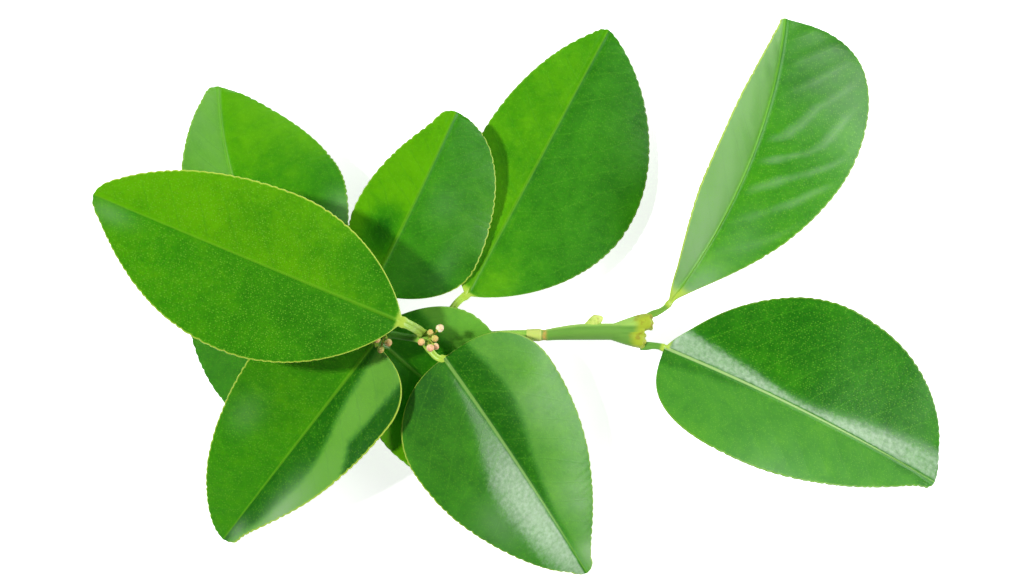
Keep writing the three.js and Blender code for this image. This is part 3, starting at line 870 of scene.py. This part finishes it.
# All limbs and knobs grown together into one skin.
def stemMesh():
    places, faces, start = [], [], 0
    rings = [limbRings(points) for points in stem["limbs"].values()]
    rings += [knobRings(place) for place in stem["knobs"]]
    for ring in rings:
        points, more = skinOver(ring, start)
        places.append(points)
        faces += more
        start += len(points)
    rough = bpy.data.meshes.new("stem_parts")
    rough.from_pydata((np.vstack(places) * millimetre + origin).tolist(), [], faces)
    carrier = bpy.data.objects.new("stem_parts", rough)
    scene.collection.objects.link(carrier)
    joining = carrier.modifiers.new("joining", "REMESH")
    joining.mode = "VOXEL"
    joining.voxel_size = stem["voxel"] * millimetre
    easing = carrier.modifiers.new("easing", "SMOOTH")
    easing.iterations = stem["easingRounds"]
    finished = carrier.evaluated_get(bpy.context.evaluated_depsgraph_get())
    grown = bpy.data.meshes.new_from_object(finished)
    bpy.data.objects.remove(carrier)
    grown.name = "stem_skin"
    grown.polygons.foreach_set("use_smooth", [True] * len(grown.polygons))
    where = np.zeros(len(grown.vertices) * 3, np.float32)
    grown.vertices.foreach_get("co", where)
    where = (where.reshape(-1, 3) - origin) / millimetre
    storeStemFacts(grown, where)
    return grown


def storeStemFacts(mesh, where):
    x, y = where[:, 0], where[:, 1]
    main = x > 0
    storeFact(mesh, "scar", main * acrossScar(x, *stem["colourEnds"]))
    storeFact(mesh, "scarEdge", main * bell(x - stem["scarGroove"], stem["grooveColour"]))
    for label in ("torn", "broken"):
        upper, lower = stem[label]
        storeFact(mesh, label, np.where(y > stem["split"], smooth(*upper, x), smooth(*lower, x)))
    axis = np.array(stem["limbs"]["main"])[::-1]
    middle = np.interp(x, axis[:, 0], axis[:, 1])
    girth = np.interp(x, axis[:, 0], axis[:, 3])
    storeFact(mesh, "flank", (y - middle) / girth)
    # The young share grows towards -x; the other share paints shade on the stem beyond x = -27.5 mm,
    # under the leaves.
    for label in ("young", "paintedShade"):
        storeFact(mesh, label, 1 - smooth(*stem[label], x))


stemLook = dict(
    green=tint(0.145, 0.335, 0.05), pale=tint(0.42, 0.68, 0.14), young=tint(0.36, 0.66, 0.08),
    streak=tint(0.10, 0.29, 0.035), paintedShade=tint(0.07, 0.27, 0.02),
    ring=tint(0.50, 0.60, 0.14), ringEdge=tint(0.60, 0.36, 0.09),
    lobe=tint(0.36, 0.46, 0.03), heart=tint(0.44, 0.50, 0.06), bruise=tint(0.26, 0.22, 0.02),
)


def stemFinish():
    look = stemLook
    f = Finish("green_stem")
    place = f.place()
    grainPlace = f.stretched(place, (0.12, 1, 1))
    streaks = f.noise(grainPlace, 1500, 2.0, 0.6)
    mottle = f.noise(place, 420, 3.0, 0.6)
    torn = f.fact("torn")
    colour = look["green"]
    layers = dict(
        young=f.fact("young"), streak=f.ramp(streaks, 0.42, 0.7) * 0.5,
        # The pale share on the next line paints a highlight along the stem's +y flank.
        pale=f.ramp(f.fact("flank"), 0.55, 0.95) * 0.7, paintedShade=f.fact("paintedShade"),
        lobe=f.ramp(torn + mottle * 0.5 - 0.25, 0.2, 0.9),
        heart=f.fact("broken") * f.ramp(mottle, 0.35, 0.6),
        bruise=torn * f.ramp(mottle, 0.54, 0.66) * 0.75,
        ring=f.ramp(f.fact("scar") + mottle * 0.3 - 0.15, 0.25, 0.75),
        ringEdge=f.fact("scarEdge") * f.ramp(mottle, 0.25, 0.6),
    )
    for layer, share in layers.items():
        colour = f.blend(share, colour, look[layer])
    relief = streaks * 0.5 + mottle * (0.4 + torn * 0.8)
    return f.tissue(
        colour, mottle * 0.2 + 0.38, relief, 0.35, 0.0002, 0.15, (0.6, 1.0, 0.2), 0.0012)


addPiece("stem_grown", stemMesh(), stemFinish(), ["stem"])
print("stem made")

# Flower buds: centre, radius and kind. A cluster's stalks leave the stem near its root.
budClusters = dict(
    front=dict(root=(-23, -13.8, 26.5), buds=[
        (-24.5, -14.6, 29.5, 1.05, "peach"), (-19.4, -10.8, 29.8, 1.15, "cream"),
        (-22, -11.9, 30, 0.9, "olive"), (-20.7, -13.6, 30.7, 1, "olive"),
        (-22, -16.2, 31, 1.1, "pink"), (-20.6, -15.8, 28.7, 1, "pink"),
    ]),
    rear=dict(root=(-34.6, -12.2, 24.6), buds=[
        (-36.5, -14, 28, 0.95, "peach"), (-33.4, -14.8, 28.2, 1.1, "peach"),
        (-35.5, -16.7, 27.2, 1, "olive"),
    ]),
)
budBuild = dict(
    sides=45, stalkRows=10, bulbRows=62, bulb=(-1.02, 0.985), taper=0.1, tip=0.02,
    stalkRadius=0.3, stalkStart=0.5, stalkFlare=0.25, flareFrom=-1.6,
    petals=5, petalDepth=0.08, petalTwist=0.5, seamHalf=0.22, seamDepth=0.1,
    lip=-0.28, lipTooth=0.14, lipEdge=0.05,
)
budPetals = dict(
    peach=(tint(0.95, 0.72, 0.32), tint(0.80, 0.44, 0.17)),
    cream=(tint(0.95, 0.92, 0.68), tint(0.85, 0.62, 0.36)),
    olive=(tint(0.62, 0.64, 0.16), tint(0.66, 0.46, 0.14)),
    pink=(tint(0.95, 0.66, 0.38), tint(0.80, 0.42, 0.24)),
)
budSepal = dict(green=tint(0.40, 0.52, 0.07), brown=tint(0.34, 0.26, 0.06))


def budMesh(name, cluster, bud):
    build = budBuild
    root, centre, radius = np.array(cluster["root"]), np.array(bud[:3]), bud[3]
    along = centre - root
    distance = np.linalg.norm(along)
    along = along / distance
    first = (build["stalkStart"] - distance) / radius
    low, high = build["bulb"]
    rise = np.concatenate([
        np.linspace(first, low, build["stalkRows"], endpoint=False),
        np.linspace(low, high, build["bulbRows"]),
    ])
    angle = anglesRound(build["sides"])
    t = rise[:, None] + 0 * angle
    bulb = np.sqrt(np.clip(1 - np.clip(t, -1, 1) ** 2, 0, 1)) * (1 - build["taper"] * t)
    flare = build["stalkFlare"] * smooth(build["flareFrom"], -1, t)
    stalk = build["stalkRadius"] / radius * (1 + flare)
    lip = build["lip"] + build["lipTooth"] * np.cos(build["petals"] * angle)
    petal = smooth(lip - build["lipEdge"], lip + build["lipEdge"], t)
    spiral = build["petals"] / 2 * (angle + build["petalTwist"] * t)
    seam = bell(np.sin(spiral), build["seamHalf"]) * petal
    radii = bulb * (1 - build["petalDepth"] * petal - build["seamDepth"] * seam)
    radii = np.maximum(radii, np.where(t < 0, stalk, build["tip"]))
    line = centre + along * (rise * radius)[:, None]
    points, faces = skinOver(ringsRound(line, radii * radius))
    mesh = skinMesh(name + "_skin", points * millimetre + origin, faces)
    storeFact(mesh, "petal", petal.reshape(-1))
    storeFact(mesh, "seam", seam.reshape(-1))
    storeFact(mesh, "rise", t.reshape(-1))
    return mesh


def budFinish(kind):
    body, blush = budPetals[kind]
    f = Finish("flower_bud_" + kind)
    place = f.place()
    mottle = f.noise(place, 1400, 2.0, 0.5)
    rise, petal = f.fact("rise"), f.fact("petal")
    overlay = f.blend(f.ramp(mottle + rise * 0.4, 0.35, 0.95), body, blush)
    overlay = f.blend(f.fact("seam") * 0.45, overlay, blush)
    sepal = f.blend(f.ramp(mottle, 0.45, 0.7), budSepal["green"], budSepal["brown"])
    return f.tissue(
        f.blend(petal, sepal, overlay), mottle * 0.2 + 0.35, mottle, 0.25, 0.00012,
        0.2, (1.0, 0.6, 0.3), 0.0008)


budFinishes = {kind: budFinish(kind) for kind in budPetals}
for place, cluster in budClusters.items():
    for number, bud in enumerate(cluster["buds"], 1):
        node = f"flower_bud_{place}_{number}"
        addPiece(node + "_grown", budMesh(node, cluster, bud), budFinishes[bud[4]], [node])
print("flower buds made")

# The dormant bud lies along the stem, under two scales that wrap round it.
dormant = dict(
    points=[
        (19.9, -10.4, 12.5, 0.3), (21.3, -9.8, 12.5, 0.85), (22.7, -9.1, 12.6, 1.3),
        (23.8, -8.6, 12.7, 1.25), (24.7, -8.2, 12.8, 0.7), (25.1, -8, 12.85, 0.1),
    ],
    sides=48, rows=60, scaleLift=0.1, scaleStep=0.03, scaleEdge=0.04,
    scales=((0.45, 0.2, 0.6), (0.72, 0.14, -2.2)),  # each scale's mean end, its slant and turn
    pale=tint(0.66, 0.78, 0.20), green=tint(0.42, 0.60, 0.10), dry=tint(0.45, 0.30, 0.08),
)


def dormantMesh():
    t = np.linspace(0, 1, dormant["rows"])
    course = curveThrough(dormant["points"], t)
    angle = anglesRound(dormant["sides"])
    height = t[:, None] + 0 * angle
    past = [height - end - slant * np.cos(angle + turn) for end, slant, turn in dormant["scales"]]
    step = dormant["scaleStep"]
    wrapped = sum(1 - smooth(-step, step, distance) for distance in past)
    radii = course[:, 3:4] * (1 + dormant["scaleLift"] * wrapped)
    points, faces = skinOver(ringsRound(course[:, :3], radii))
    mesh = skinMesh("dormant_bud_skin", points * millimetre + origin, faces)
    edges = sum(bell(distance, dormant["scaleEdge"]) for distance in past)
    storeFact(mesh, "scaleEdge", np.minimum(edges, 1).reshape(-1))
    storeFact(mesh, "height", height.reshape(-1))
    return mesh


def dormantFinish():
    f = Finish("dormant_bud_scales")
    place = f.place()
    mottle = f.noise(place, 900, 3.0, 0.6)
    tipward = f.ramp(mottle - f.fact("height") * 0.25, 0.2, 0.7)
    colour = f.blend(tipward, dormant["pale"], dormant["green"])
    colour = f.blend(f.fact("scaleEdge") * f.ramp(mottle, 0.4, 0.65) * 0.5, colour, dormant["dry"])
    return f.tissue(
        colour, mottle * 0.2 + 0.4, mottle, 0.3, 0.00015, 0.2, (0.8, 1.0, 0.3), 0.0008)


addPiece("dormant_bud_grown", dormantMesh(), dormantFinish(), ["dormant_bud"])
print("dormant bud made")

# Floor, light and camera. Angles are degrees from +X and above the horizon.
studio = dict(
    cameraHeight=800, lens=100.44, sensor=36, clipEnd=20,
    floorSize=6, floorColour=tint(0.9, 0.9, 0.9), floorLift=0.8,
    skyHorizon=0.3, skyTop=0.03, skyTurn=(0.2, 0.8),
    keyStrength=2.95, keyAzimuth=166, keyElevation=56, keySpread=5,
    boxPower=10, boxLength=1.4, boxHeight=0.3, boxAzimuth=8, boxElevation=38, boxDistance=1.0,
)


def direction(azimuth, elevation):
    a, e = math.radians(azimuth), math.radians(elevation)
    return Vector((math.cos(a) * math.cos(e), math.sin(a) * math.cos(e), math.sin(e)))


def addLamp(name, kind, towards, distance, **settings):
    lamp = bpy.data.lights.new(name, kind)
    for key, value in settings.items():
        setattr(lamp, key, value)
    holder = bpy.data.objects.new(name, lamp)
    holder.location = towards * distance
    holder.rotation_mode = "QUATERNION"
    holder.rotation_quaternion = towards.to_track_quat("Z", "Y")
    scene.collection.objects.link(holder)
    return holder


# White paper: a matt floor that the camera and reflections also see by a little light of its own.
def makeFloor():
    half = studio["floorSize"]
    corners = [(-half, -half, 0), (half, -half, 0), (half, half, 0), (-half, half, 0)]
    mesh = bpy.data.meshes.new("floor")
    mesh.from_pydata(corners, [], [(0, 1, 2, 3)])
    floor = bpy.data.objects.new("floor", mesh)
    scene.collection.objects.link(floor)
    f = Finish("white_paper")
    place = f.place()
    fibres = f.noise(place, 900, 2.0, 0.6)
    paper = f.node("ShaderNodeBsdfPrincipled", None, {
        "Base Color": studio["floorColour"], "Roughness": 0.9, "Normal": f.bump(fibres, 0.1, 0.0001)})
    rays = [f.node("ShaderNodeLightPath", output=ray)
            for ray in ("Is Camera Ray", "Is Glossy Ray", "Is Transmission Ray")]
    lift = f.node("ShaderNodeMath", {"operation": "MINIMUM"}, {0: rays[0] + rays[1] + rays[2], 1: 1.0})
    glow = f.node("ShaderNodeEmission", None, {"Strength": lift * studio["floorLift"]})
    mesh.materials.append(f.finish(f.node("ShaderNodeAddShader", None, {0: paper, 1: glow})))


# A room that is bright at the horizon and dim overhead.
def makeSky():
    f = Finish("studio_sky", bpy.data.worlds)
    height = f.node("ShaderNodeSeparateXYZ", None, {0: f.place("Generated")}, output="Z")
    strength = f.ramp(height, *studio["skyTurn"], studio["skyHorizon"], studio["skyTop"])
    sky = f.node("ShaderNodeBackground", None, {"Strength": strength})
    scene.world = f.finish(sky, "ShaderNodeOutputWorld")


makeFloor()
makeSky()
sun = addLamp("key", "SUN", direction(studio["keyAzimuth"], studio["keyElevation"]), 1,
              energy=studio["keyStrength"], angle=math.radians(studio["keySpread"]))
sun.visible_glossy = False
boxPlace = direction(studio["boxAzimuth"], studio["boxElevation"])
addLamp("softbox", "AREA", boxPlace, studio["boxDistance"], energy=studio["boxPower"],
        shape="RECTANGLE", size=studio["boxLength"], size_y=studio["boxHeight"])

camera = bpy.data.objects.new("camera", bpy.data.cameras.new("camera"))
camera.data.lens = studio["lens"]
camera.data.sensor_width = studio["sensor"]
camera.data.clip_end = studio["clipEnd"]
camera.location = Vector(origin) + Vector((0, 0, studio["cameraHeight"] * millimetre))
scene.collection.objects.link(camera)
scene.camera = camera
scene.view_settings.view_transform = "Standard"
print("floor, lights and camera set")
